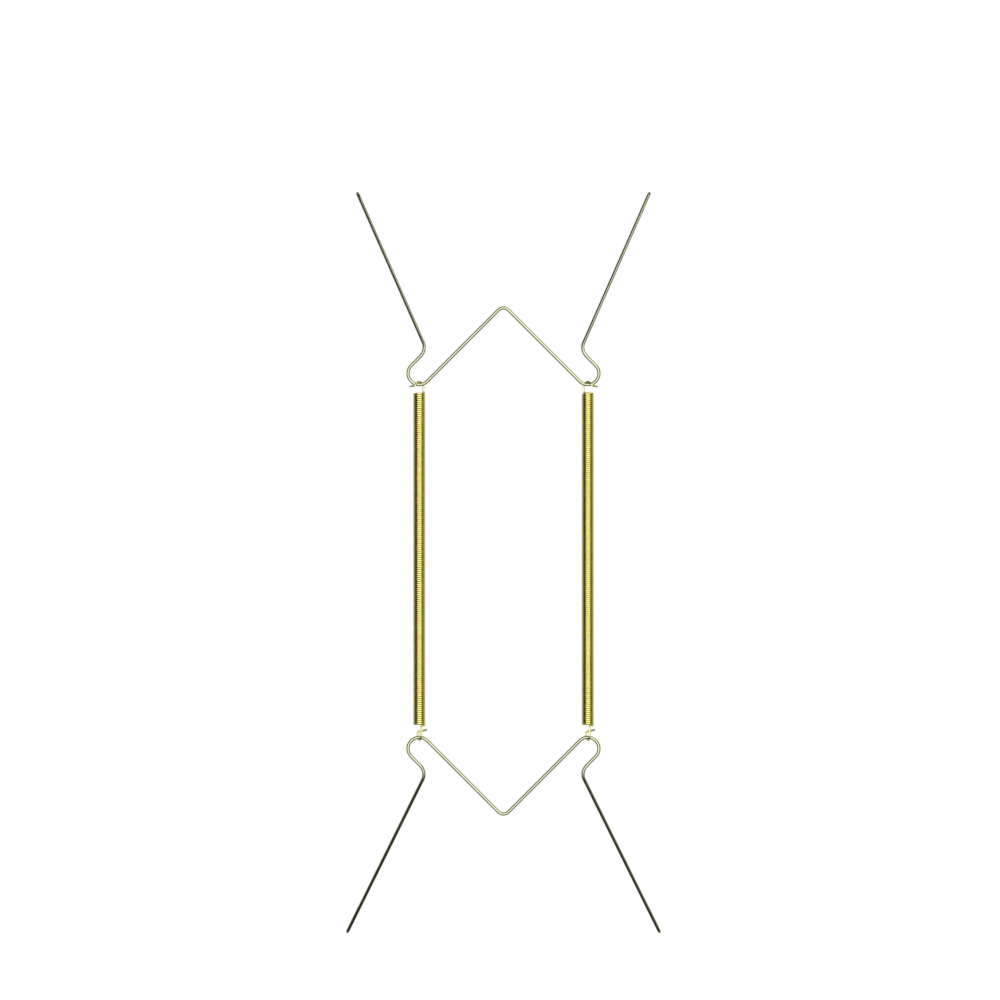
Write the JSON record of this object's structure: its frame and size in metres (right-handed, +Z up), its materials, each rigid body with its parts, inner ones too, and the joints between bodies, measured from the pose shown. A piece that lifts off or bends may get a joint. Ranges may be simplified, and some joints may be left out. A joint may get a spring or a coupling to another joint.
{
  "type": "plate hanger",
  "caption": "Bent wire wall hanger for a plate: an upper and a lower frame with rim hooks on splayed arms, drawn together by a pair of extension springs.",
  "frame": {"origin": "the point inside the upper apex that rests on the wall nail, in the plane of the wire's centreline", "axes": "+X across the hanger to the right as seen from the wall side in the picture, +Y from the wall towards the plate, +Z up"},
  "size_m": [0.1126, 0.0357, 0.2647],
  "materials": {
    "frame_wire": "bright brass-plated steel wire",
    "spring_wire": "bright brass-plated spring wire"
  },
  "bodies": {
    "upper_frame": {"upper_frame": "frame_wire"},
    "left_spring": {"left_spring": "spring_wire"},
    "right_spring": {"right_spring": "spring_wire"},
    "lower_frame": {"lower_frame": "frame_wire"}
  },
  "joints": [
    {"name": "upper_swing", "type": "hinge", "parent": "upper_frame", "child": "left_spring", "pos_m": [0, 0, -0.02638], "axis": [1, 0, 0], "range_deg": [-150, 120]},
    {"name": "spring_stretch", "type": "slide", "parent": "left_spring", "child": "right_spring", "axis": [0, 0, -1], "range_m": [0, 0.045], "stiffness_N_per_m": 450, "springref_m": -0.005, "deforming": ["left_spring", "right_spring"]},
    {"name": "lower_swing", "type": "hinge", "parent": "right_spring", "child": "lower_frame", "pos_m": [0, 0, -0.15056], "axis": [1, 0, 0], "range_deg": [-150, 120]}
  ]
}
